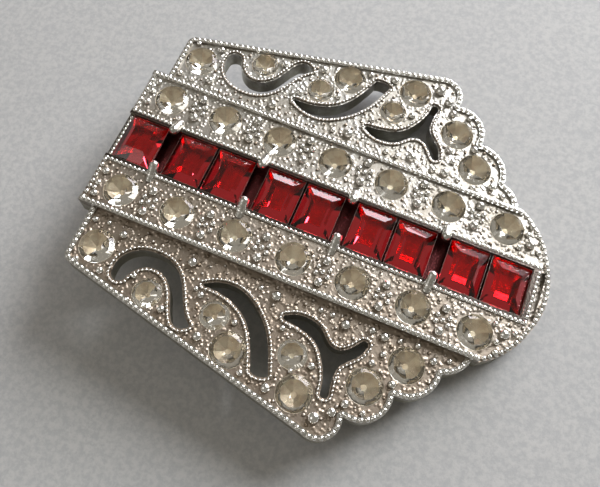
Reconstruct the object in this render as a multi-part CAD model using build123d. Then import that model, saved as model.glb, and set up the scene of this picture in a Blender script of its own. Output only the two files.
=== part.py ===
from build123d import *
import os
from math import cos, radians, sin

# Brooch: one white-metal casting carries a raised channel bar with a row of rectangular
# red stones, a line of round crystals on each side of it, and two pierced scalloped wings
# set with more crystals. A strip soldered across the back carries the pin, hinged at one
# end and held by a roll-over catch at the other.
#
# Millimetres. +X runs along the red row from the wide end to the tip, Y across the width,
# +Z is the worn front. The origin is centred under the outline, level with the rearmost
# point of the catch. Plan points are given from a line just inside the wide end.

# ---- overall sizes
LENGTH = 46.2            # wide end to tip
WIDTH = 41.2             # across both wings

# ---- casting
WING_T = 1.8             # thickness of the wings
BAR_STEP = 0.5           # the bar stands this much above the wings
RIM_W = 0.55             # raised border that carries the milgrain
RIM_H = 0.22
RAIL_W = 0.60            # walls of the red channel
RAIL_H = 0.12            # height of the channel walls above the bar

# ---- red row
RED_COUNT = 9
END_LIP = 0.55           # casting beyond the first red stone
TIP_MARGIN = 2.1         # casting beyond the last red stone
NARROW_GAP = 0.30        # between stones that touch shoulders
CLAW_GAP = 1.50          # between stones that have claws between them
CLAW_R = 0.50
CLAW_L = 1.7
CLAW_LEAN = 55           # degrees off upright, towards the stones
RED_L = 5.0              # stone size across the row
RED_GIRDLE = 0.30
RED_CROWN = 0.75
RED_TABLE = 0.50         # table width as a part of the stone
RED_CULET = 0.34
RED_DROP = 0.12          # girdle top below the bar's ground
SEAT_GAP = 0.06          # play between a stone and its seat
BED = 0.04               # foil and cement under the point of a stone

# ---- round crystals
BIG_R = 1.72
SMALL_R = 1.42
FIELD_IN = 0.79          # metal between the channel wall and a bar crystal
FIELD_OUT = 0.30         # metal between a bar crystal and the bar's border
PAIR_WALL = 0.43         # metal between a small crystal and the large one it sits beside
GIRDLE = 0.22
CROWN = 0.34
TABLE = 0.72             # table width as a part of the stone
PAVILION = 1.00
GIRDLE_DROP = 0.05       # girdle top below the metal around it
FACETS = 8

# ---- pin and catch
STRIP_X = 10.0           # middle of the strip, from the zero of the plan points
STRIP_W = 3.6
STRIP_T = 0.6
STEM_DROP = 2.0          # strip to the pin's axis
FITTING_Y = 7.0          # hinge and catch, each side of the middle
PIN_R = 0.45
PIN_RUN_ON = 2.6         # pin beyond the middle of the catch
POINT_L = 2.4
POINT_R = 0.08
RUNNING = 0.06           # radial play of the moving fits
SIDE_PLAY = 0.12
LUG_T = 0.5
HINGE_R = 0.40
EYE_R = 0.95
ROLLER_WALL = 0.55
SHELL_WALL = 0.60
CATCH_L = 1.9
FLANGE_T = 0.45
MOUTH_PLAY = 0.20        # room each side of the pin in the mouth of the catch
LEVER_L = 1.5

# ---- the outline and the scrolls were drawn on a brooch of this size
DRAWN_LENGTH = 46.2
PLAN_ZERO = 0.9          # wide end to the zero of the plan points
DRAWN_TOP = 20.6         # middle to the highest point of a wing
DRAWN_BAR = 8.3          # middle to the bar's edge

# ---- values that follow
EYE_WIDTH = 2 * PIN_R + 0.2
ROLLER_IN = PIN_R + 0.17
ROLLER_OUT = ROLLER_IN + ROLLER_WALL
SHELL_IN = ROLLER_OUT + RUNNING
SHELL_OUT = SHELL_IN + SHELL_WALL
MOUTH = 2 * (PIN_R + MOUTH_PLAY)
STEM_Z = (SHELL_OUT ** 2 - MOUTH ** 2 / 4) ** 0.5
BACK_Z = STEM_Z + STEM_DROP + STRIP_T
SX = LENGTH / DRAWN_LENGTH
X0 = -LENGTH / 2 + PLAN_ZERO * SX
ROW_X = -LENGTH / 2 + END_LIP
ROW_L = LENGTH - END_LIP - TIP_MARGIN
RED_W = (ROW_L - 4 * NARROW_GAP - 4 * CLAW_GAP) / RED_COUNT
WING_Z = BACK_Z + WING_T
BAR_Z = WING_Z + BAR_STEP
RAIL_Z = BAR_Z + RAIL_H
RED_DEPTH = WING_T + BAR_STEP - 0.75
FLOOR_Z = BAR_Z - RED_DEPTH
CHANNEL_Y = RED_L / 2 + 2 * SEAT_GAP
RAIL_Y = CHANNEL_Y + RAIL_W
CRYSTAL_Y = RAIL_Y + FIELD_IN + BIG_R
BAR_Y = CRYSTAL_Y + BIG_R + FIELD_OUT + RIM_W
SY = (WIDTH / 2 - BAR_Y) / (DRAWN_TOP - DRAWN_BAR)
STEM_X = X0 + STRIP_X * SX

# Crystal centres on one wing, from the wide end: x, y. The small ones that sit beside a
# large one follow from it: number of the large one and the direction, in degrees.
LARGE_ONES = [(2.9, 11.8), (18.8, 16.2), (26.0, 17.5), (31.75, 14.4), (34.7, 11.1)]
LONE_SMALL = (9.5, 14.2)
TUCKED = [(1, 225.6), (2, 245.1)]
BAR_CRYSTALS = 7
BAR_FIRST = 2.4
BAR_PITCH = 6.2


def at(x, y):
    """Plan point of a wing, moved into the brooch's frame; y follows the bar's edge."""
    return (X0 + x * SX, BAR_Y + (y - DRAWN_BAR) * SY)


def along(x):
    return X0 + x * SX


def slab(edges, low, high):
    """Closed run of edges, filled and raised from low to high."""
    face = make_face(edges)
    return Pos(0, 0, low) * extrude(face, high - low, dir=(0, 0, 1))


def both_sides(shape):
    return shape + mirror(shape, Plane.XZ)


# ---- outline of one wing: straight end, rising straight edge, then four scallops
def wing_edges():
    run = Polyline(at(0.5, 7.0), at(0.5, 13.3))
    run += ThreePointArc(at(0.5, 13.3), at(0.7, 14.0), at(1.3, 14.35))
    run += Line(at(1.3, 14.35), at(27.9, 20.55))
    run += ThreePointArc(at(27.9, 20.55), at(30.35, 20.05), at(30.85, 17.75))
    run += ThreePointArc(at(30.85, 17.75), at(33.55, 17.05), at(34.5, 14.2))
    run += ThreePointArc(at(34.5, 14.2), at(37.1, 13.2), at(38.0, 10.65))
    run += ThreePointArc(at(38.0, 10.65), at(39.5, 9.7), at(40.2, 8.2))
    run += Polyline(at(40.2, 8.2), at(40.2, 7.0), at(0.5, 7.0))
    return run


# ---- outline of the bar: square wide end, rounded tip
def bar_edges():
    end_x = -LENGTH / 2
    tip_x = LENGTH / 2
    start_x, round_x, shoulder_x = along(40.8), along(43.35), along(44.55)
    round_y, shoulder_y = 0.717 * BAR_Y, 0.434 * BAR_Y
    run = Polyline((end_x, -BAR_Y), (end_x, BAR_Y), (start_x, BAR_Y))
    run += ThreePointArc((start_x, BAR_Y), (round_x, round_y), (shoulder_x, shoulder_y))
    run += ThreePointArc((shoulder_x, shoulder_y), (tip_x, 0), (shoulder_x, -shoulder_y))
    run += ThreePointArc((shoulder_x, -shoulder_y), (round_x, -round_y), (start_x, -BAR_Y))
    run += Line((start_x, -BAR_Y), (end_x, -BAR_Y))
    return run


# ---- the three scroll slots of one wing
def scroll_one():
    outer = [(5.4, 13.3), (5.6, 11.9), (6.8, 10.65), (8.6, 10.2), (10.6, 10.6),
             (12.1, 12.0), (13.0, 13.6), (14.6, 15.5)]
    inner = [(12.7, 15.6), (11.9, 14.1), (11.2, 12.85), (10.1, 11.95), (8.6, 11.8),
             (7.5, 12.5), (6.95, 13.5)]
    run = Spline(*[at(*p) for p in outer])
    run += ThreePointArc(at(14.6, 15.5), at(14.0, 16.05), at(12.7, 15.6))
    run += Spline(*[at(*p) for p in inner])
    run += ThreePointArc(at(6.95, 13.5), at(6.1, 14.2), at(5.4, 13.3))
    return run


def scroll_two():
    outer = [(14.2, 11.15), (15.5, 10.5), (17.5, 10.4), (19.7, 11.5), (21.4, 13.2),
             (22.4, 15.0), (23.2, 17.0)]
    inner = [(21.5, 17.2), (20.85, 15.6), (20.0, 14.0), (18.8, 12.65), (17.2, 11.8),
             (15.5, 11.45), (14.2, 11.45)]
    run = Spline(*[at(*p) for p in outer])
    run += ThreePointArc(at(23.2, 17.0), at(22.4, 17.35), at(21.5, 17.2))
    run += Spline(*[at(*p) for p in inner])
    run += ThreePointArc(at(14.2, 11.45), at(14.05, 11.3), at(14.2, 11.15))
    return run


def scroll_three():
    low = [(22.6, 11.0), (24.4, 10.45), (26.2, 11.0), (27.5, 12.1), (28.4, 12.2),
           (29.3, 11.6), (30.1, 10.6)]
    right = [(30.7, 11.1), (29.9, 12.5), (28.95, 13.6), (28.75, 14.9), (28.95, 16.3)]
    inner = [(28.15, 16.4), (27.9, 15.1), (27.2, 13.7), (26.1, 12.4), (24.5, 11.75),
             (22.6, 11.5)]
    run = Spline(*[at(*p) for p in low])
    run += ThreePointArc(at(30.1, 10.6), at(30.65, 10.55), at(30.7, 11.1))
    run += Spline(*[at(*p) for p in right])
    run += ThreePointArc(at(28.95, 16.3), at(28.6, 16.85), at(28.15, 16.4))
    run += Spline(*[at(*p) for p in inner])
    run += ThreePointArc(at(22.6, 11.5), at(22.35, 11.25), at(22.6, 11.0))
    return run


# ---- where the stones sit
def red_starts():
    """Near edge of each red stone; a claw gap follows every odd stone."""
    x, found = ROW_X, []
    for number in range(1, RED_COUNT + 1):
        found.append(x)
        x += RED_W + (CLAW_GAP if number % 2 else NARROW_GAP)
    return found


def claw_centres():
    return [x + RED_W + CLAW_GAP / 2 for x in red_starts()[:-1:2]]


def wing_crystals():
    """Centre and radius of the crystals of one wing, from the wide end to the tip."""
    large = [at(*place) for place in LARGE_ONES]
    found = [(*place, BIG_R) for place in large] + [(*at(*LONE_SMALL), SMALL_R)]
    reach = BIG_R + SMALL_R + PAIR_WALL
    for host, turn in TUCKED:
        x, y = large[host]
        found.append((x + reach * cos(radians(turn)), y + reach * sin(radians(turn)), SMALL_R))
    return sorted(found)


def crystal_places():
    """Name, plan position, radius and metal height of every crystal."""
    found = []
    for side, sign in (("upper", 1), ("lower", -1)):
        for number in range(BAR_CRYSTALS):
            x = along(BAR_FIRST + number * BAR_PITCH)
            found.append((f"{side}_bar_crystal_{number + 1}", x, sign * CRYSTAL_Y, BIG_R, BAR_Z))
        for number, (x, y, radius) in enumerate(wing_crystals(), 1):
            found.append((f"{side}_wing_crystal_{number}", x, sign * y, radius, WING_Z))
    return found


# ---- stones
def polygon(apothem, z, turn):
    return Pos(0, 0, z) * RegularPolygon(apothem, FACETS, major_radius=False, rotation=turn)


def crystal(radius):
    """Round stone with the top of its girdle at z = 0: table, two rings of crown facets,
    a thin girdle and a faceted back."""
    half = 180 / FACETS
    shape = Pos(0, 0, (CROWN - GIRDLE - PAVILION) / 2) * Cylinder(radius, CROWN + GIRDLE + PAVILION)
    mains = loft([polygon(radius, 0, 0), polygon(TABLE * radius, CROWN, 0)], ruled=True)
    stars = loft([polygon(1.03 * radius, 0, half),
                  polygon(1.04 * TABLE * radius, CROWN, half)], ruled=True)
    crown = mains & stars
    back = loft([polygon(radius, -GIRDLE, half), polygon(0.16 * radius, -GIRDLE - PAVILION, half)],
                ruled=True)
    middle = Pos(0, 0, -GIRDLE / 2) * Cylinder(1.2 * radius, GIRDLE)
    return shape & (crown + middle + back)


def red_stone():
    """Rectangular stone with its girdle top at z = 0: four steep crown faces to a table."""
    culet = BED + RED_DROP - RED_DEPTH
    top = loft([Rectangle(RED_W, RED_L),
                Pos(0, 0, RED_CROWN) * Rectangle(RED_TABLE * RED_W, RED_TABLE * RED_L)], ruled=True)
    belt = Pos(0, 0, -RED_GIRDLE / 2) * Box(RED_W, RED_L, RED_GIRDLE)
    back = loft([Pos(0, 0, -RED_GIRDLE) * Rectangle(RED_W, RED_L),
                 Pos(0, 0, culet) * Rectangle(RED_CULET * RED_W, RED_CULET * RED_L)], ruled=True)
    return top + belt + back


# ---- the casting
def claw(x):
    """Finger that leans in from the channel wall, with a round tip."""
    finger = Cylinder(CLAW_R, CLAW_L) + Pos(0, 0, CLAW_L / 2) * Sphere(CLAW_R)
    return Pos(x, CHANNEL_Y + 0.30, BAR_Z + 0.20) * Rot(CLAW_LEAN, 0, 0) * finger


def casting():
    wing = slab(wing_edges(), BACK_Z, WING_Z)
    rim = slab(wing_edges(), WING_Z, WING_Z + RIM_H)
    inside = offset(make_face(wing_edges()), amount=-RIM_W)
    rim -= Pos(0, 0, WING_Z - 0.1) * extrude(inside, RIM_H + 0.3, dir=(0, 0, 1))
    wing += rim
    for scroll in (scroll_one(), scroll_two(), scroll_three()):
        wing -= slab(scroll, BACK_Z - 1, WING_Z + 1)
    body = both_sides(wing) + slab(bar_edges(), BACK_Z, BAR_Z)

    # channel walls and the line of beading between bar and wing stand above the bar
    wall_start = -LENGTH / 2
    row_end = ROW_X + ROW_L
    wall_end = row_end + 0.8
    wall_l = wall_end - wall_start
    wall_x = (wall_start + wall_end) / 2
    wall_h = RAIL_H + 0.5
    wall_place = Pos(wall_x, RAIL_Y - RAIL_W / 2, RAIL_Z - wall_h / 2)
    body += both_sides(wall_place * Box(wall_l, RAIL_W, wall_h))
    ridge_l = along(40.6) - wall_start
    ridge = Pos(wall_start + ridge_l / 2, BAR_Y - RIM_W / 2, BAR_Z + (RIM_H - 0.5) / 2)
    body += both_sides(ridge * Box(ridge_l, RIM_W, RIM_H + 0.5))
    end_wall = Pos(row_end + 0.45, 0, RAIL_Z - wall_h / 2)
    body += end_wall * Box(0.7, 2 * RAIL_Y, wall_h)

    # channel for the red row, open over the low lip at the wide end, and the groove
    # behind the end wall
    lip_top = BAR_Z - RED_DROP - RED_GIRDLE / 2
    channel_l = ROW_L + 2 * SEAT_GAP
    channel = Pos(ROW_X + ROW_L / 2, 0, FLOOR_Z + 5) * Box(channel_l, 2 * CHANNEL_Y, 10)
    mouth = Pos(ROW_X - END_LIP, 0, lip_top + 5) * Box(2 * END_LIP, 2 * CHANNEL_Y, 10)
    groove = Pos(row_end + 1.1, 0, BAR_Z - 0.55 + 5) * Box(0.5, 2 * CHANNEL_Y, 10)
    body -= channel + mouth + groove

    for x in claw_centres():
        body += both_sides(claw(x))

    for name, x, y, radius, metal_z in crystal_places():
        floor = metal_z - GIRDLE_DROP - GIRDLE - PAVILION - BED
        body -= Pos(x, y, floor + 5) * Cylinder(radius + SEAT_GAP, 10)
    return body


# ---- pin and catch, built round the pin's own axis, then moved into place
def strip():
    bar = Box(STRIP_W, 2 * FITTING_Y + 3.4, STRIP_T)
    bar = fillet(bar.edges().filter_by(Axis.Z), 1.2)
    return Pos(STEM_X, 0, BACK_Z - STRIP_T / 2) * bar


def joint_bracket():
    """Two lugs folded up from a foot plate, bored for the hinge rivet."""
    foot_t = 0.4
    top = BACK_Z - STRIP_T
    inner = EYE_WIDTH / 2 + SIDE_PLAY
    shape = Pos(0, 0, top - foot_t / 2) * Box(2 * (inner + LUG_T), 3.0, foot_t)
    drop = top - STEM_Z
    for sign in (1, -1):
        x = sign * (inner + LUG_T / 2)
        shape += Pos(x, 0, top - drop / 2) * Box(LUG_T, 2 * EYE_R, drop)
        shape += Pos(x, 0, STEM_Z) * Rot(0, 90, 0) * Cylinder(EYE_R, LUG_T)
    shape -= Pos(0, 0, STEM_Z) * Rot(0, 90, 0) * Cylinder(HINGE_R, 20)
    return Pos(STEM_X, FITTING_Y, 0) * shape


def hinge_rivet():
    span = EYE_WIDTH + 2 * SIDE_PLAY + 2 * LUG_T
    head_r = 1.7 * HINGE_R
    head_t = 0.25
    shape = Cylinder(HINGE_R, span)
    for sign in (1, -1):
        shape += Pos(0, 0, sign * (span + head_t) / 2) * Cylinder(head_r, head_t)
    return Pos(STEM_X, FITTING_Y, STEM_Z) * Rot(0, 90, 0) * shape


def pin_stem():
    """Round wire with a flat eye at the hinge and a ground point past the catch."""
    length = 2 * FITTING_Y + PIN_RUN_ON
    shaft_l = length - POINT_L
    shape = Rot(0, 90, 0) * Cylinder(EYE_R, EYE_WIDTH)
    shape += Pos(0, -shaft_l / 2, 0) * Rot(90, 0, 0) * Cylinder(PIN_R, shaft_l)
    point = Cone(PIN_R, POINT_R, POINT_L)
    shape += Pos(0, -shaft_l - POINT_L / 2, 0) * Rot(90, 0, 0) * point
    shape -= Rot(0, 90, 0) * Cylinder(HINGE_R + RUNNING, 20)
    return Pos(STEM_X, FITTING_Y, STEM_Z) * shape


def mouth_cut(length):
    """Slot that lets the pin out of the catch, away from the casting."""
    return Pos(0, 0, -5) * Box(MOUTH, length, 10)


def catch_shell():
    """Open ring on a neck; the pin drops in through its mouth."""
    top = BACK_Z - STRIP_T
    neck_h = top - STEM_Z
    shape = Rot(90, 0, 0) * Cylinder(SHELL_OUT, CATCH_L)
    shape += Pos(0, 0, neck_h / 2) * Box(2.2, CATCH_L, neck_h)
    shape -= Rot(90, 0, 0) * Cylinder(SHELL_IN, 20)
    shape -= mouth_cut(20)
    return Pos(STEM_X, -FITTING_Y, STEM_Z) * shape


def catch_roller():
    """Split tube that turns in the shell; a lever flange outside, a turned lip inside."""
    barrel_l = CATCH_L + 2 * SIDE_PLAY
    flange_r = SHELL_OUT - 0.1
    lip_r = SHELL_IN + 0.25
    lip_t = 0.3
    shape = Rot(90, 0, 0) * Cylinder(ROLLER_OUT, barrel_l)
    flange_y = -(barrel_l + FLANGE_T) / 2
    shape += Pos(0, flange_y, 0) * Rot(90, 0, 0) * Cylinder(flange_r, FLANGE_T)
    lever_l = flange_r + LEVER_L
    shape += Pos(lever_l / 2, flange_y, 0) * Box(lever_l, FLANGE_T, 1.3)
    shape += Pos(lever_l, flange_y, 0) * Rot(90, 0, 0) * Cylinder(0.65, FLANGE_T)
    shape += Pos(0, (barrel_l + lip_t) / 2, 0) * Rot(90, 0, 0) * Cylinder(lip_r, lip_t)
    shape -= Rot(90, 0, 0) * Cylinder(ROLLER_IN, 20)
    shape -= mouth_cut(20)
    return Pos(STEM_X, -FITTING_Y, STEM_Z) * shape


def all_parts():
    parts = {
        "cast_plate": casting(),
        "pin_strip": strip(),
        "joint_bracket": joint_bracket(),
        "hinge_rivet": hinge_rivet(),
        "pin_stem": pin_stem(),
        "catch_shell": catch_shell(),
        "catch_roller": catch_roller(),
    }
    red = red_stone()
    for number, x in enumerate(red_starts(), 1):
        parts[f"red_stone_{number}"] = Pos(x + RED_W / 2, 0, BAR_Z - RED_DROP) * red
    big, small = crystal(BIG_R), crystal(SMALL_R)
    for name, x, y, radius, metal_z in crystal_places():
        stone = big if radius == BIG_R else small
        parts[name] = Pos(x, y, metal_z - GIRDLE_DROP) * stone
    return parts


os.makedirs("parts", exist_ok=True)
for node, shape in all_parts().items():
    shape.label = node
    export_step(shape, os.path.join("parts", node + ".step"))
    box = shape.bounding_box()
    print(node, len(shape.solids()), round(shape.volume, 3), box.min, box.max)
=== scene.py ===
# %% [markdown]
# # A channel-set bar brooch
# The CAD model gives every piece its true shape and place. This lesson adds what a caster
# and a setter add last: milgrain, grains between the stones, foil, tarnish, painted shade and
# light.
# Everything is in metres in the CAD frame, and lengths are written in millimetres times MM.

# %% Frame
import math

import bpy
import bmesh
from mathutils import Matrix, Vector


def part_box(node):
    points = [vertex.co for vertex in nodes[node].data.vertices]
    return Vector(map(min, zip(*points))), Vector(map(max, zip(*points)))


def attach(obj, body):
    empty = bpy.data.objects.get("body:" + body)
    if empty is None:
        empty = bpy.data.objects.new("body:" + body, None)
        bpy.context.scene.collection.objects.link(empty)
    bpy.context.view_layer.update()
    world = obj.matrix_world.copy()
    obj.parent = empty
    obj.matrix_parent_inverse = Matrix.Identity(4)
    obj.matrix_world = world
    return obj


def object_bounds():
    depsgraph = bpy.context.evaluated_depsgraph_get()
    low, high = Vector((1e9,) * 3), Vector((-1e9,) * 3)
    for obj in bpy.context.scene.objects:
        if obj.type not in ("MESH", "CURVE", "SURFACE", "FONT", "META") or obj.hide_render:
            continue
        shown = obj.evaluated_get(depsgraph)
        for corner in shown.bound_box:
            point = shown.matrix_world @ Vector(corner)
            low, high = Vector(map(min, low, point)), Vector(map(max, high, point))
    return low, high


MM = 0.001
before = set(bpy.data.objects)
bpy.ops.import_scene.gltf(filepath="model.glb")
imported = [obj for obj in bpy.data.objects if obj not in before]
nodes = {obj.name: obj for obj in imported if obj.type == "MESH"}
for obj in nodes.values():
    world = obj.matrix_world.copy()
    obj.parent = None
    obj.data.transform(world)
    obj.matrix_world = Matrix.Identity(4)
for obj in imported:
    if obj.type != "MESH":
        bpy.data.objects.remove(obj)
cad_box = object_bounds()
print("CAD nodes:", len(nodes))

# %% [markdown]
# ## Levels of the casting
# A casting like this has few levels: back, wing ground, bar ground and the tops of the
# borders. They are read from the CAD faces, so every ornament lies on real metal.

# %% Levels and flat faces
WING_T, BAR_STEP, BORDER_H, WALL_H = 1.8, 0.5, 0.22, 0.12
BACK = round(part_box("pin_strip")[1][2] / MM, 5)
WING_TOP = BACK + WING_T
BAR_TOP = WING_TOP + BAR_STEP
WALL_TOP = BAR_TOP + WALL_H
BAR_EDGE = 8.3
PLAN_ZERO = 0.9
PLAN_X = cad_box[0][0] / MM + PLAN_ZERO
CHANNEL_EDGE, ROW_END = 2.62, 43.2


def flat_faces(z_mm, half=0):
    """Triangles of the casting that lie at one level; half 1 or -1 keeps one side of Y."""
    mesh = nodes["cast_plate"].data
    found = []
    for face in mesh.polygons:
        corners = [mesh.vertices[i].co / MM for i in face.vertices]
        level = all(abs(c.z - z_mm) < 0.004 for c in corners)
        if level and (half == 0 or half * face.center.y > 0):
            found.append([tuple(c) for c in corners])
    return found


def outline_loops(triangles):
    """Closed outlines of a patch of triangles, as lists of plan points in millimetres."""
    directed = {}
    for tri in triangles:
        ids = [(round(x, 3), round(y, 3)) for x, y, _ in tri]
        for a, b in zip(ids, ids[1:] + ids[:1]):
            directed[(a, b)] = True
    rim = {a: b for a, b in directed if (b, a) not in directed}
    loops = []
    while rim:
        start, here = rim.popitem()
        loop = [start]
        while here != start and here in rim:
            loop.append(here)
            here = rim.pop(here)
        loops.append(loop)
    return loops


def area(loop):
    return sum(a[0] * b[1] - b[0] * a[1] for a, b in zip(loop, loop[1:] + loop[:1])) / 2


def inset(loop, amount, closed=True):
    """The line moved sideways, to the left of its direction."""
    count, moved = len(loop), []
    for i, (x, y) in enumerate(loop):
        before = loop[i - 1] if closed or i else loop[0]
        after = loop[(i + 1) % count] if closed or i < count - 1 else loop[-1]
        across = Vector((before[1] - after[1], after[0] - before[0]))
        if across.length < 1e-6:
            continue
        across.normalize()
        moved.append((x + across.x * amount, y + across.y * amount))
    return moved


back_loops = sorted(outline_loops(flat_faces(BACK)), key=lambda q: -abs(area(q)))
wing_loops = outline_loops(flat_faces(WING_TOP))
print("back outlines:", len(back_loops), "ground outlines:", len(wing_loops))

# %% [markdown]
# ## Shader sums
# Node trees are easier to read as arithmetic. Wire wraps a socket and adds a Math node for
# each operator; Graph.node makes any other node from its settings and its inputs.


# %% Wire and Graph
class Wire:
    """An output socket that can be used in sums."""

    def __init__(self, graph, socket):
        self.graph, self.socket = graph, socket

    def out(self, name):
        return Wire(self.graph, self.socket.node.outputs[name])

    def math(self, operation, *values):
        return self.graph.node("ShaderNodeMath", {"operation": operation}, dict(enumerate(values)))

    def __add__(self, other):
        return self.math("ADD", self, other)

    def __sub__(self, other):
        return self.math("SUBTRACT", self, other)

    def __mul__(self, other):
        return self.math("MULTIPLY", self, other)

    def __truediv__(self, other):
        return self.math("DIVIDE", self, other)

    def __rsub__(self, other):
        return self.math("SUBTRACT", other, self)

    __radd__ = __add__
    __rmul__ = __mul__

    def between(self, low, high):
        """0 below low, 1 above high, smooth between."""
        return self.graph.node("ShaderNodeMapRange", {"interpolation_type": "SMOOTHSTEP"},
                               {"Value": self, "From Min": low, "From Max": high})


class Graph:
    """Makes nodes in one tree."""

    def __init__(self, tree):
        self.tree = tree

    def node(self, kind, settings=None, values=None, out=0):
        made = self.tree.nodes.new(kind)
        for name, value in (settings or {}).items():
            if name == "stops":
                ramp = made.color_ramp.elements
                while len(ramp) < len(value):
                    ramp.new(0.5)
                for element, (place, colour) in zip(ramp, value):
                    element.position, element.color = place, colour
            else:
                setattr(made, name, value)
        for name, value in (values or {}).items():
            if isinstance(value, Wire):
                self.tree.links.new(value.socket, made.inputs[name])
            else:
                made.inputs[name].default_value = value
        return Wire(self, made.outputs[out]) if len(made.outputs) else made


class Finish(Graph):
    """A material with a Principled shader and object coordinates in millimetres."""

    def __init__(self, name, **constants):
        self.material = bpy.data.materials.new(name)
        self.material.use_nodes = True
        super().__init__(self.material.node_tree)
        self.shader = self.tree.nodes["Principled BSDF"]
        coords = self.node("ShaderNodeTexCoord", out="Object")
        self.mm = self.node("ShaderNodeVectorMath", {"operation": "SCALE"},
                            {0: coords, "Scale": 1 / MM})
        self.facing = self.node("ShaderNodeSeparateXYZ", None, {0: coords.out("Normal")}, out="Z")
        self.along = self.node("ShaderNodeSeparateXYZ", None, {0: self.mm}, out="X")
        self.across = self.along.out("Y")
        self.height = self.along.out("Z")
        for socket, value in constants.items():
            self.shader.inputs[socket.replace("_", " ")].default_value = value

    def noise(self, per_mm, detail=3.0, rough=0.55):
        return self.node("ShaderNodeTexNoise", None,
                         {"Vector": self.mm, "Scale": per_mm, "Detail": detail, "Roughness": rough})

    def mix(self, factor, a, b):
        return self.node("ShaderNodeMix", {"data_type": "RGBA"}, {0: factor, 6: a, 7: b}, out=2)

    def bump(self, height, depth_mm, strength=1.0):
        return self.node("ShaderNodeBump", None,
                         {"Height": height, "Distance": depth_mm * MM, "Strength": strength})

    def feed(self, **links):
        for socket, wire in links.items():
            self.tree.links.new(wire.socket, self.shader.inputs[socket.replace("_", " ")])
        return self.material


# %% [markdown]
# ## The casting's metal
# Pot metal under a bright plate: polished where fingers and cloth reach, brown where dirt collects
# in patches. The sides and undersides are painted darker as shade, the grounds warm brown as
# shade, strongest on the lower wing, the hollows below the ground darker olive as shade, and the
# channel and the inner edge of its walls dark as shade, with the lip dark brown. Height, facing and
# place find these, so no picture is needed. The wing and bar grounds are pitted all over, as cast.


# %% Cast metal
WARM_GROUND_SHADE, HOLLOW_SHADE = (0.29, 0.225, 0.17, 1), (0.36, 0.35, 0.27, 1)
GRIME_AND_SHADE, CHANNEL_SHADE = (0.20, 0.17, 0.115, 1), (0.12, 0.014, 0.02, 1)
LIP_TONE, WALL_SHADE = (0.09, 0.07, 0.05, 1), (0.07, 0.05, 0.04, 1)


def near_level(f, level):
    """1 on a flat at this height, 0 away from it."""
    return 1 - f.height.math("ABSOLUTE", f.height - level).between(0.03, 0.12)


def channel_shade(f, colour):
    """Dark red painted shade, with a painted reflection of the red stones, in the channel; dark
    brown on its lip; dark brown painted shade on the inner edge of its walls.
    """
    off_middle = f.across.math("ABSOLUTE", f.across)
    inside = 1 - off_middle.between(CHANNEL_EDGE - 0.02, CHANNEL_EDGE + 0.1)
    below = 1 - f.height.between(BAR_TOP - 0.12, BAR_TOP + 0.02)
    past_lip = f.along.between(PLAN_X - 0.42, PLAN_X - 0.34)
    row = past_lip * (1 - f.along.between(PLAN_X + ROW_END, PLAN_X + ROW_END + 0.2))
    above_back = f.height.between(BACK + 0.5, BACK + 0.7)
    # Painted shade in the channel under the stones, dark red as a painted reflection of the red
    # glass.
    colour = f.mix(inside * below * row * above_back * 0.95, colour, CHANNEL_SHADE)
    flat_top = f.facing.between(0.85, 0.95)
    colour = f.mix(inside * (1 - past_lip) * flat_top * 0.8, colour, LIP_TONE)
    # Painted shade: the inner edge of the wall tops is dark brown.
    wall_top = (f.height.between(BAR_TOP + 0.04, BAR_TOP + 0.09)
                * (1 - f.height.between(BAR_TOP + 0.15, BAR_TOP + 0.2)))
    inner_edge = 1 - off_middle.between(CHANNEL_EDGE + 0.26, CHANNEL_EDGE + 0.34)
    return f.mix(wall_top * inner_edge * flat_top * 0.9, colour, WALL_SHADE)


def cast_metal(name, pitted):
    f = Finish(name, Metallic=1.0)
    patches = f.noise(0.35, 4.0)
    fine = f.noise(5.0, 3.0, 0.6)
    sides = 1 - f.facing.between(-0.1, 0.6)
    flats = near_level(f, WING_TOP)
    low = flats.math("MAXIMUM", flats, near_level(f, BAR_TOP)) if pitted else sides * 0.0
    # Dirt in patches on the grounds, and painted shade on the sides and undersides so the tops stay
    # light. The grime colour below paints both.
    dirt_and_shade = low.math("MAXIMUM", low * 0.45, sides * 0.7) * (0.3 + patches.between(0.35, 0.65) * 0.9)
    light, dull = (0.68, 0.67, 0.65, 1), (0.50, 0.49, 0.455, 1)
    if not pitted:
        light, dull = (0.86, 0.85, 0.83, 1), (0.72, 0.71, 0.68, 1)
    colour = f.mix(fine.between(0.3, 0.7), light, dull)
    colour = f.mix(dirt_and_shade.math("MINIMUM", dirt_and_shade, 1.0), colour, GRIME_AND_SHADE)
    # Warm brown painted shade on the grounds: strong on the lower wing, which faces away from the
    # light, and faint on the upper one.
    toward_light = f.across.between(-12.0, 14.0)
    colour = f.mix(low * (0.80 - toward_light * 0.72), colour, WARM_GROUND_SHADE)
    # Painted shade below the ground level: the slots and outer walls are darkened towards olive.
    deep = 1 - f.height.between(WING_TOP - 0.9, WING_TOP - 0.1)
    colour = f.mix(deep * 0.6, colour, HOLLOW_SHADE)
    colour = channel_shade(f, colour)
    if not pitted:
        return f.feed(Base_Color=colour, Roughness=0.13 + dirt_and_shade * 0.2 + fine * 0.08,
                      Normal=f.bump(fine, 0.006))
    cells = f.node("ShaderNodeTexVoronoi", {"feature": "SMOOTH_F1"},
                   {"Vector": f.mm, "Scale": 2.3, "Smoothness": 0.5, "Randomness": 1.0})
    relief = low * (1 - cells.between(0.05, 0.6)) + fine * 0.3
    rough = 0.17 + dirt_and_shade * 0.26 + fine * 0.12 + low * 0.14
    return f.feed(Base_Color=colour, Roughness=rough, Normal=f.bump(relief, 0.10))


plate_metal = cast_metal("cast_plate_metal", True)
grain_metal = cast_metal("grain_metal", False)


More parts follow.
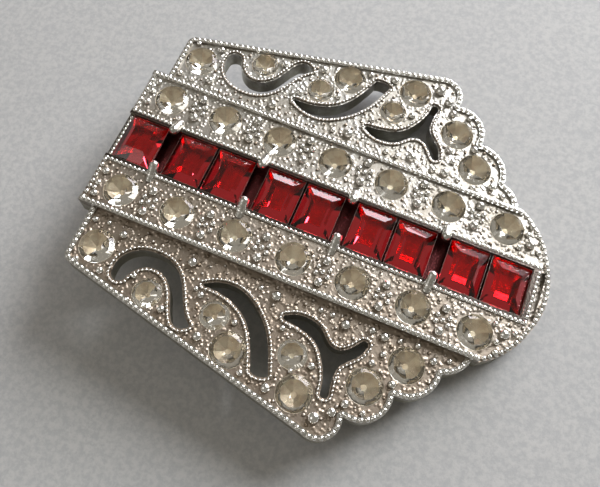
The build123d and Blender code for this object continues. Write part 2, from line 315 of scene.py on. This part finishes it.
def pebble_metal():
    """The ground's own small grains: the plate has gone from them in patches."""
    f = Finish("pebble_metal", Metallic=1.0)
    fine = f.noise(1.3, 3.0, 0.6)
    tops = f.facing.between(0.35, 0.95)
    tone = f.mix(fine.between(0.42, 0.62), (0.32, 0.26, 0.20, 1), (0.60, 0.56, 0.51, 1))
    # The pebbles' sides and undersides are painted dark brown as shade; only their tops keep the
    # patchy tone.
    return f.feed(Base_Color=f.mix(tops, (0.18, 0.14, 0.10, 1), tone),
                  Roughness=0.42 + fine * 0.12)


ground_metal = pebble_metal()
print("cast metals:", plate_metal.name, grain_metal.name, ground_metal.name)

# %% [markdown]
# ## Findings
# Strip, bracket, wire and catch are drawn or pressed steel under a thin plate. Long scratches
# run along the work, so a stretched noise breaks up the gloss.


# %% Steel
def steel(name, colour, stretch, rough):
    f = Finish(name, Metallic=1.0)
    lines = f.node("ShaderNodeMapping", None, {"Vector": f.mm, "Scale": stretch})
    scratches = f.node("ShaderNodeTexNoise", None, {"Vector": lines, "Scale": 2.2, "Detail": 4.0})
    patches = f.noise(0.5, 3.0)
    dull = tuple(c * 0.62 for c in colour[:3]) + (1,)
    tone = f.mix(patches.between(0.42, 0.7) * 0.6 + scratches * 0.2, colour, dull)
    return f.feed(Base_Color=tone, Roughness=rough + scratches * 0.18 + patches * 0.1,
                  Normal=f.bump(scratches, 0.012))


# colour, how the scratches are stretched along X, Y and Z, roughness
strip_steel = steel("strip_steel", (0.62, 0.60, 0.55, 1), (6.0, 0.5, 6.0), 0.24)
wire_steel = steel("pin_wire_steel", (0.72, 0.71, 0.69, 1), (5.0, 0.3, 5.0), 0.12)
catch_steel = steel("catch_steel", (0.66, 0.64, 0.58, 1), (1.0, 5.0, 1.0), 0.2)
rivet_steel = steel("rivet_steel", (0.56, 0.55, 0.53, 1), (0.4, 4.0, 4.0), 0.22)
print("steels:", strip_steel.name, wire_steel.name, catch_steel.name, rivet_steel.name)

# %% [markdown]
# ## Glass and foil
# Red glass and clear chatons are polished glass with a metal foil behind. The glass refracts,
# and the foil, a thin shell behind each stone, sends the light back. Age shows as warm blotches
# in the foil and faint smears on the tables.


# %% Glass
def glass(name, clear, smeared, rough):
    f = Finish(name, Transmission_Weight=1.0, IOR=1.54)
    smears = f.noise(0.9, 4.0)
    return f.feed(Base_Color=f.mix(smears.between(0.4, 0.75), clear, smeared),
                  Roughness=rough + smears.between(0.5, 0.8) * 0.03)


def foil(name, bright, aged, rough):
    f = Finish(name, Metallic=1.0)
    blotches = f.noise(1.1, 5.0, 0.65)
    crackle = f.noise(6.0, 3.0)
    tone = f.mix(blotches.between(0.38, 0.66), bright, aged)
    return f.feed(Base_Color=tone, Roughness=rough + crackle * 0.2, Normal=f.bump(crackle, 0.01))


red_glass = glass("ruby_glass", (0.90, 0.030, 0.045, 1), (0.80, 0.022, 0.034, 1), 0.005)
clear_glass = glass("chaton_glass", (0.97, 0.95, 0.90, 1), (0.94, 0.89, 0.82, 1), 0.09)
red_foil = foil("red_stone_foil", (0.92, 0.88, 0.86, 1), (0.66, 0.55, 0.50, 1), 0.12)
aged_foil = foil("aged_foil", (0.95, 0.89, 0.76, 1), (0.80, 0.69, 0.54, 1), 0.46)

print("glass:", red_glass.name, clear_glass.name, "foil:", red_foil.name, aged_foil.name)

# %% [markdown]
# ## Painting the solids
# Each CAD node is one piece of the real brooch and takes one finish, put into the slots it
# already has. The nodes themselves stay as they are.

# %% Paint the CAD nodes
FINISHES = {
    "cast_plate": plate_metal,
    "pin_strip": strip_steel,
    "joint_bracket": strip_steel,
    "hinge_rivet": rivet_steel,
    "pin_stem": wire_steel,
    "catch_shell": catch_steel,
    "catch_roller": catch_steel,
}
for name, node in nodes.items():
    finish = FINISHES.get(name, red_glass if name.startswith("red") else clear_glass)
    for slot in node.material_slots:
        slot.material = finish
print("painted", len(nodes), "nodes")

# %% [markdown]
# ## Geometry Nodes
# Milgrain is a row of beads rolled along an edge, so one tree puts beads at an even pitch
# along any curve. A second tree sweeps a fine wire along it. A third sets a grain of its own
# size on each given point. A fourth scatters pebbles over the ground, clear of stones, slots
# and the large grains.


# %% Tree builders
def new_tree(name, inputs):
    tree = bpy.data.node_groups.new(name, "GeometryNodeTree")
    face = tree.interface
    face.new_socket("Geometry", in_out="INPUT", socket_type="NodeSocketGeometry")
    for label, kind, value in inputs:
        socket = face.new_socket(label, in_out="INPUT", socket_type="NodeSocket" + kind)
        if value is not None:
            socket.default_value = value
    face.new_socket("Geometry", in_out="OUTPUT", socket_type="NodeSocketGeometry")
    g = Graph(tree)
    start = g.node("NodeGroupInput")
    return g, start


def end_tree(g, start, shape):
    """Real mesh, smooth, in its metal, to the output."""
    real = g.node("GeometryNodeRealizeInstances", None, {0: shape})
    smooth = g.node("GeometryNodeSetShadeSmooth", None, {0: real})
    metal = g.node("GeometryNodeSetMaterial", None, {0: smooth, "Material": start.out("Metal")})
    g.node("NodeGroupOutput", None, {0: metal})
    return g.tree


METAL = ("Metal", "Material", None)


def milgrain_tree():
    g, start = new_tree("milgrain", [("Pitch", "Float", 0.6 * MM), ("Grain", "Float", 0.25 * MM),
                                     ("Flatten", "Float", 0.9), METAL])
    spread = g.node("GeometryNodeResampleCurve", {"mode": "LENGTH"},
                    {"Curve": start, "Length": start.out("Pitch")})
    ball = g.node("GeometryNodeMeshIcoSphere", None,
                  {"Radius": start.out("Grain"), "Subdivisions": 2})
    shape = g.node("ShaderNodeCombineXYZ", None, {0: 1.0, 1: 1.0, 2: start.out("Flatten")})
    beads = g.node("GeometryNodeInstanceOnPoints", None,
                   {"Points": spread, "Instance": ball, "Scale": shape})
    return end_tree(g, start, beads)


def wire_tree():
    g, start = new_tree("fine_wire", [("Gauge", "Float", 0.12 * MM), METAL])
    ring = g.node("GeometryNodeCurvePrimitiveCircle", {"mode": "RADIUS"},
                  {"Resolution": 8, "Radius": start.out("Gauge")})
    swept = g.node("GeometryNodeCurveToMesh", None,
                   {"Curve": start, "Profile Curve": ring, "Fill Caps": True})
    return end_tree(g, start, swept)


def grain_tree():
    g, start = new_tree("set_grains", [("Flatten", "Float", 0.8), METAL])
    ball = g.node("GeometryNodeMeshIcoSphere", None, {"Radius": 1.0, "Subdivisions": 3})
    size = g.node("GeometryNodeInputNamedAttribute", {"data_type": "FLOAT"}, {"Name": "size"})
    shape = g.node("ShaderNodeCombineXYZ", None, {0: size, 1: size, 2: size * start.out("Flatten")})
    grains = g.node("GeometryNodeInstanceOnPoints", None,
                    {"Points": start, "Instance": ball, "Scale": shape})
    return end_tree(g, start, grains)


def pebble_tree():
    g, start = new_tree("ground_pebbles", [
        ("Borders", "Object", None), ("Grains", "Object", None), ("Spacing", "Float", 0.5 * MM),
        ("Grain", "Float", 0.2 * MM), ("Border", "Float", 0.2 * MM), ("Clear", "Float", 0.5 * MM),
        ("Seed", "Int", 3), METAL])
    points = g.node("GeometryNodeDistributePointsOnFaces", {"distribute_method": "POISSON"},
                    {"Mesh": start, "Distance Min": start.out("Spacing"), "Density Max": 9e6,
                     "Seed": start.out("Seed")})
    keep = None
    for target, kind, gap in (("Borders", "EDGES", "Border"), ("Grains", "POINTS", "Clear")):
        other = g.node("GeometryNodeObjectInfo", None, {"Object": start.out(target)},
                       out="Geometry")
        near = g.node("GeometryNodeProximity", {"target_element": kind}, {0: other}, out="Distance")
        far = near.math("GREATER_THAN", near, start.out(gap))
        keep = far if keep is None else keep * far
    scale = g.node("FunctionNodeRandomValue", {"data_type": "FLOAT"},
                   {2: 0.62, 3: 1.15, "Seed": start.out("Seed")}, out=1)
    ball = g.node("GeometryNodeMeshIcoSphere", None,
                  {"Radius": start.out("Grain"), "Subdivisions": 2})
    pebbles = g.node("GeometryNodeInstanceOnPoints", None,
                     {"Points": points, "Selection": keep, "Instance": ball, "Scale": scale})
    return end_tree(g, start, pebbles)


TREES = {"milgrain": milgrain_tree(), "wire": wire_tree(), "grains": grain_tree(),
         "pebbles": pebble_tree()}
print("trees:", ", ".join(TREES))

# %% [markdown]
# ## From a tree to a plain piece
# The casting's ornament is one with the cast body, so every piece made here rides on the body
# called brooch. The tree is run once and its result kept as a plain mesh, because a plain
# mesh can be exported and measured.


# %% Turning a tree into a plain piece
def grow(name, source, tree, **inputs):
    """Runs a tree on a source object and keeps the result as one plain mesh on the brooch."""
    bpy.context.scene.collection.objects.link(source)
    modifier = source.modifiers.new(tree, "NODES")
    modifier.node_group = TREES[tree]
    wanted = {"Metal": grain_metal, **{k.replace("_", " "): v for k, v in inputs.items()}}
    for item in TREES[tree].interface.items_tree:
        if item.in_out == "INPUT" and item.name in wanted:
            modifier[item.identifier] = wanted[item.name]
    depsgraph = bpy.context.evaluated_depsgraph_get()
    mesh = bpy.data.meshes.new_from_object(source.evaluated_get(depsgraph))
    mesh.name = name
    piece = bpy.data.objects.new(name, mesh)
    bpy.context.scene.collection.objects.link(piece)
    bpy.data.objects.remove(source)
    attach(piece, "brooch")
    print(name, len(mesh.polygons), "faces")
    return piece


def lines(name, paths):
    """A curve object of poly lines: each path is (points, z, closed), in millimetres."""
    curve = bpy.data.curves.new(name, "CURVE")
    curve.dimensions = "3D"
    for points, z, closed in paths:
        spline = curve.splines.new("POLY")
        spline.points.add(len(points) - 1)
        for knot, (x, y) in zip(spline.points, points):
            knot.co = (x * MM, y * MM, z * MM, 1)
        spline.use_cyclic_u = closed
    return bpy.data.objects.new(name, curve)


print("ready to grow", len(TREES), "kinds of piece")

# %% [markdown]
# ## Milgrain on the edges
# Milgrain is rolled or cut into a raised border so that a worn edge still sparkles. Here the
# outline is read once from the back face and moved in by the radius of one bead, then cut
# where the bar stands above the wings, because the beads change level there.

# %% Edge milgrain
EDGE_GRAIN, EDGE_PITCH = 0.27, 0.60


def runs(points, test):
    """Stretches of a closed line whose points pass a test, in order."""
    flags = [test(p) for p in points]
    if all(flags):
        return [points]
    first = flags.index(False)
    order = points[first:] + points[:first]
    found, now = [], []
    for p in order:
        if test(p):
            now.append(p)
        elif now:
            found.append(now)
            now = []
    return found + ([now] if now else [])


outline = back_loops[0] if area(back_loops[0]) > 0 else back_loops[0][::-1]


def dense(points, step=0.2, closed=True):
    ends = points[1:] + points[:1] if closed else points[1:]
    full = []
    for a, b in zip(points, ends):
        length = math.dist(a, b)
        count = max(1, math.ceil(length / step))
        for i in range(count):
            part = i / count
            full.append((a[0] + (b[0] - a[0]) * part, a[1] + (b[1] - a[1]) * part))
    return full


def on_bar(p):
    """On the bar's border, but not across the open end of the channel."""
    return abs(p[1]) < BAR_EDGE - 0.05 and (p[0] > 0 or abs(p[1]) > LIP_HALF)


LIP_HALF, SHORTEST_RUN = 3.2, 8
edge_line = inset(dense(outline), EDGE_GRAIN)
wing_runs = runs(edge_line, lambda p: abs(p[1]) > BAR_EDGE + 0.15)
bar_runs = runs(edge_line, on_bar)
paths = [(run, WING_TOP + BORDER_H - 0.05, False) for run in wing_runs if len(run) > SHORTEST_RUN]
paths += [(run, BAR_TOP, False) for run in bar_runs if len(run) > SHORTEST_RUN]
grow("edge_milgrain", lines("edge_path", paths), "milgrain",
     Pitch=EDGE_PITCH * MM, Grain=EDGE_GRAIN * MM, Flatten=0.95)

# %% [markdown]
# ## Milgrain on the bar and the channel
# Two straight borders carry beads of their own: the step between bar and wing, and the walls
# that hold the red stones. The low lip at the wide end has a short row as well.

# %% Bar and channel milgrain
LEFT = PLAN_X - 0.55
RIDGE_Y, RIDGE_END = BAR_EDGE - 0.3, PLAN_X + 40.3
WALL_Y, WALL_END = 2.92, PLAN_X + 43.8
BEAD_OUT = 0.12
LIP_X, LIP_Y, LIP_BEAD_Z = PLAN_X - 0.62, 2.3, BAR_TOP - 0.33
BEAD_Z = WALL_TOP - 0.06
paths = []
for side in (1, -1):
    paths.append(([(LEFT, side * RIDGE_Y), (RIDGE_END, side * RIDGE_Y)],
                  BAR_TOP + BORDER_H - 0.02, False))
grow("bar_edge_milgrain", lines("bar_path", paths), "milgrain",
     Pitch=0.52 * MM, Grain=0.25 * MM, Flatten=0.9)
paths = []
for side in (1, -1):
    y = side * (WALL_Y + BEAD_OUT)
    paths.append(([(LEFT, y), (WALL_END, y)], BEAD_Z, False))
paths.append(([(WALL_END, -WALL_Y), (WALL_END, WALL_Y)], BEAD_Z, False))
paths.append(([(LIP_X, -LIP_Y), (LIP_X, LIP_Y)], LIP_BEAD_Z, False))
grow("channel_milgrain", lines("wall_path", paths), "milgrain",
     Pitch=0.5 * MM, Grain=0.23 * MM, Flatten=0.9)

# %% [markdown]
# ## Scroll slots
# Each pierced scroll has a raised rim with fine grains. A slot's outline is told from a
# stone seat's by its shape: a seat is as long as it is wide.

# %% Scroll rims
RIM_OUT = 0.27


def is_slot(loop):
    xs, ys = [p[0] for p in loop], [p[1] for p in loop]
    wide, tall = max(xs) - min(xs), max(ys) - min(ys)
    return abs(wide - tall) > 0.25 and max(wide, tall) < 12


slots = [q for q in wing_loops if is_slot(q)]
rims = []
for loop in slots:
    around = loop if area(loop) > 0 else loop[::-1]
    rims.append(inset(dense(around, 0.15), -RIM_OUT))
wire_paths = [(rim, WING_TOP + 0.05, True) for rim in rims]
bead_paths = [(rim, WING_TOP + 0.15, True) for rim in rims]
grow("scroll_wire", lines("scroll_wire_path", wire_paths), "wire",
     Gauge=0.12 * MM, Metal=ground_metal)
grow("scroll_milgrain", lines("scroll_path", bead_paths), "milgrain",
     Pitch=0.40 * MM, Grain=0.14 * MM, Flatten=1.0)
print("slots:", len(slots))

# %% [markdown]
# ## Large grains
# Between the stones the model maker soldered shot of several sizes. These are listed in plan, the
# same on both wings, with their radius, because the eye reads them one by one.
# Every claw rises from a mound, which is one more large grain at its root.

# %% Large grains
WING_GRAINS = [
    (28.45, 18.8, 0.52), (29.75, 17.75, 0.42), (23.4, 18.05, 0.42), (20.7, 17.7, 0.30),
    (15.7, 16.15, 0.42), (11.45, 15.1, 0.36), (4.4, 13.95, 0.33), (1.75, 13.75, 0.26),
    (4.8, 9.8, 0.38), (12.2, 9.75, 0.46), (21.0, 9.7, 0.46), (19.3, 9.5, 0.27),
    (28.1, 9.75, 0.46), (26.6, 9.3, 0.27), (25.4, 9.3, 0.27), (30.6, 9.25, 0.32),
    (31.9, 9.4, 0.42), (26.55, 14.6, 0.34), (22.7, 12.35, 0.28), (14.3, 12.4, 0.33),
    (18.35, 13.6, 0.30), (7.65, 13.15, 0.27), (34.0, 13.3, 0.36), (31.6, 12.15, 0.32),
    (32.3, 11.0, 0.28), (36.9, 9.8, 0.36), (30.6, 16.6, 0.38), (32.4, 16.75, 0.28),
    (35.1, 8.95, 0.28), (33.4, 9.2, 0.25), (38.3, 9.2, 0.25), (24.9, 15.75, 0.22),
    (8.1, 15.5, 0.24), (13.6, 12.0, 0.24), (1.5, 9.4, 0.30), (2.9, 9.2, 0.24),
]
BAR_CLUSTER = [(0.0, 7.0, 0.42), (0.0, 4.65, 0.42), (-0.62, 6.15, 0.25), (0.62, 6.2, 0.25),
               (-0.58, 5.45, 0.24), (0.62, 5.45, 0.24), (0.0, 5.85, 0.24)]
BAR_ENDS = [(0.2, 7.1, 0.34), (0.15, 4.5, 0.34), (0.0, 5.9, 0.27), (-0.1, 6.5, 0.22),
            (41.9, 6.9, 0.28), (42.25, 4.9, 0.44), (41.75, 5.9, 0.28), (43.2, 4.4, 0.26),
            (41.2, 4.2, 0.26)]
BAR_FIRST, BAR_PITCH = 2.4, 6.2
CLAW_ROOT, CLAW_ROOT_Y = 0.44, 3.1
LIFT, SWELL = 0.3, 1.12

grains = [(x, y, r, WING_TOP) for x, y, r in WING_GRAINS]
for gap in range(6):
    middle = BAR_FIRST + BAR_PITCH * (gap + 0.5)
    lean = 0.12 * math.sin(2.3 * gap)
    grains += [(middle + x + lean, y, r, BAR_TOP) for x, y, r in BAR_CLUSTER]
grains += [(x, y, r, BAR_TOP) for x, y, r in BAR_ENDS]
for number in (1, 3, 5, 7):
    near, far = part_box(f"red_stone_{number}")[1][0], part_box(f"red_stone_{number + 1}")[0][0]
    grains.append(((near + far) / 2 / MM - PLAN_X, CLAW_ROOT_Y, CLAW_ROOT, BAR_TOP))
spots = [(PLAN_X + x, side * y, z + LIFT * r, SWELL * r)
         for x, y, r, z in grains for side in (1, -1)]
mesh = bpy.data.meshes.new("grain_spots")
mesh.from_pydata([(x * MM, y * MM, z * MM) for x, y, z, r in spots], [], [])
sizes = mesh.attributes.new("size", "FLOAT", "POINT")
sizes.data.foreach_set("value", [r * MM for x, y, z, r in spots])
grain_spots = bpy.data.objects.new("grain_spots", mesh.copy())
grow("large_grains", bpy.data.objects.new("grain_source", mesh), "grains", Flatten=0.95)
bpy.context.scene.collection.objects.link(grain_spots)

# %% [markdown]
# ## Ground pebbles
# The rest of the ground is stippled. Small pebbles are scattered evenly over the flat faces
# with a fixed seed, and kept off every border.


# %% Ground pebbles
def patch(name, triangles):
    """The flat faces as one merged mesh, and its outline as loose edges."""
    corners = [tuple(c * MM for c in p) for tri in triangles for p in tri]
    faces = [(i, i + 1, i + 2) for i in range(0, len(corners), 3)]
    mesh = bpy.data.meshes.new(name)
    mesh.from_pydata(corners, [], faces)
    work = bmesh.new()
    work.from_mesh(mesh)
    bmesh.ops.remove_doubles(work, verts=work.verts, dist=1e-6)
    work.to_mesh(mesh)
    edges = [tuple(v.index for v in e.verts) for e in work.edges if len(e.link_faces) == 1]
    rim = bpy.data.meshes.new(name + "_rim")
    rim.from_pydata([v.co[:] for v in work.verts], edges, [])
    work.free()
    return bpy.data.objects.new(name, mesh), bpy.data.objects.new(name + "_rim", rim)


helpers = [grain_spots]
for place, level, half, seed, spacing in (
        ("upper_wing", WING_TOP, 1, 3, 0.78), ("lower_wing", WING_TOP, -1, 8, 0.78),
        ("upper_bar", BAR_TOP, 1, 5, 0.86), ("lower_bar", BAR_TOP, -1, 11, 0.80)):
    ground, rim = patch(place + "_ground", flat_faces(level, half))
    bpy.context.scene.collection.objects.link(rim)
    helpers.append(rim)
    grow(place + "_pebbles", ground, "pebbles", Borders=rim, Grains=grain_spots,
         Spacing=spacing * MM, Grain=0.18 * MM, Border=0.17 * MM, Clear=0.66 * MM, Seed=seed,
         Metal=ground_metal)
for helper in helpers:
    bpy.data.objects.remove(helper)

# %% [markdown]
# ## Foil behind the stones
# Foil is a skin on the back facets and the girdle, and it turns back light that enters by the
# table. It is copied from each stone's own faces, moved off by fifteen thousandths of a
# millimetre and given thickness, so it follows every cut.


# %% Foil shells
def foil_shells(name, wanted, metal, gap=0.015, thick=0.02):
    work = bmesh.new()
    for node_name, node in nodes.items():
        if not wanted(node_name):
            continue
        part = bmesh.new()
        part.from_mesh(node.data)
        bmesh.ops.remove_doubles(part, verts=part.verts, dist=1e-6)
        bmesh.ops.delete(part, geom=[f for f in part.faces if f.normal.z > 0.2],
                         context="FACES")
        part.normal_update()
        for v in part.verts:
            v.co += v.normal * gap * MM
        held = bpy.data.meshes.new("shell")
        part.to_mesh(held)
        part.free()
        work.from_mesh(held)
        bpy.data.meshes.remove(held)
    mesh = bpy.data.meshes.new(name)
    work.to_mesh(mesh)
    work.free()
    mesh.materials.append(metal)
    source = bpy.data.objects.new(name + "_source", mesh)
    bpy.context.scene.collection.objects.link(source)
    wall = source.modifiers.new("wall", "SOLIDIFY")
    wall.thickness, wall.offset = thick * MM, 1.0
    depsgraph = bpy.context.evaluated_depsgraph_get()
    held = bpy.data.meshes.new_from_object(source.evaluated_get(depsgraph))
    piece = bpy.data.objects.new(name, held)
    bpy.data.objects.remove(source)
    bpy.context.scene.collection.objects.link(piece)
    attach(piece, "brooch")
    print(name, len(piece.data.polygons), "faces")


foil_shells("red_foils", lambda n: n.startswith("red_stone"), red_foil)
foil_shells("crystal_foils", lambda n: "crystal" in n, aged_foil)

# %% [markdown]
# ## The table it lies on
# The brooch rests on its hinge, its catch and its tip, so the paper is a plane through those
# three points rather than a level one.

# %% Paper
FITTING_Y = 7.0 * MM
SINK = 0.01 * MM
shell_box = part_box("catch_shell")
catch = Vector(((shell_box[0][0] + shell_box[1][0]) / 2, -FITTING_Y, 0.0))
hinge = Vector((catch.x, FITTING_Y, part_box("joint_bracket")[0][2]))
tip = Vector((cad_box[1][0], 0.0, BACK * MM))
up = (tip - catch).cross(hinge - catch).normalized()
middle = (catch + hinge + tip) / 3 - up * SINK
side_x = Vector((1, 0, 0)) - up * up.x
side_x.normalize()
side_y = up.cross(side_x)
HALF = 0.9
mesh = bpy.data.meshes.new("paper")
mesh.from_pydata([middle + side_x * a * HALF + side_y * b * HALF for a, b in
                  ((-1, -1), (1, -1), (1, 1), (-1, 1))], [], [(0, 1, 2, 3)])
paper = bpy.data.objects.new("paper", mesh)
bpy.context.scene.collection.objects.link(paper)
f = Finish("speckled_paper")
fibre = f.noise(1.6, 5.0, 0.7)
cloud = f.noise(0.12, 3.0)
tone = f.mix(fibre.between(0.36, 0.64), (0.365, 0.368, 0.372, 1), (0.455, 0.452, 0.445, 1))
tone = f.mix(cloud * 0.25, tone, (0.40, 0.40, 0.415, 1))
mesh.materials.append(f.feed(Base_Color=tone, Roughness=0.75 + fibre * 0.2,
                             Normal=f.bump(fibre, 0.02)))
print("paper tilt, degrees:", round(math.degrees(up.angle(Vector((0, 0, 1)))), 2))


# %% [markdown]
# ## Light and camera
# One broad soft light from behind and to the right gives the long soft shadow and lights the
# far facets, a weak one fills the front, and the world is pale.

# %% Light
def soft_light(name, place, size, power, colour):
    lamp = bpy.data.lights.new(name, "AREA")
    lamp.shape, lamp.size, lamp.energy, lamp.color = "DISK", size, power, colour
    holder = bpy.data.objects.new(name, lamp)
    aim = Vector(place).to_track_quat("Z", "Y").to_matrix().to_4x4()
    holder.matrix_world = Matrix.Translation(place) @ aim
    bpy.context.scene.collection.objects.link(holder)


soft_light("window", (0.16, 0.30, 0.26), 0.22, 2.6, (0.96, 0.98, 1.0))
soft_light("wall", (0.06, 0.46, 0.10), 0.36, 2.4, (0.97, 0.93, 1.0))
soft_light("fill", (-0.30, -0.20, 0.35), 0.30, 0.3, (1.0, 0.97, 0.93))
world = bpy.data.worlds.new("room")
world.use_nodes = True
world.node_tree.nodes["Background"].inputs["Color"].default_value = (0.96, 0.90, 0.78, 1)
world.node_tree.nodes["Background"].inputs["Strength"].default_value = 0.29
bpy.context.scene.world = world
print("lamps: window, wall, fill")

# %% [markdown]
# ## Camera
# The brooch is seen from above its lower wing and turned, so both wings, the row and the near
# edges show. The three directions and the eye fix the view, and no depth of field is used.

# %% Camera
lens = bpy.data.cameras.new("camera")
lens.sensor_width, lens.lens = 36.0, 38.485
lens.clip_start, lens.clip_end = 0.001, 10.0
camera = bpy.data.objects.new("camera", lens)
right = Vector((0.92452, 0.37825, 0.04676))
above = Vector((-0.36935, 0.85892, 0.35474))
behind = Vector((0.09402, -0.34524, 0.93379))
turn = Matrix((right, above, behind)).transposed().to_4x4()
eye = Vector((PLAN_X + 26.958, -25.682, BAR_TOP + 58.766)) * MM
camera.matrix_world = Matrix.Translation(eye) @ turn
bpy.context.scene.collection.objects.link(camera)
bpy.context.scene.camera = camera
bpy.context.scene.view_settings.view_transform = "Standard"
print("camera height, mm:", round(eye.z / MM, 1))
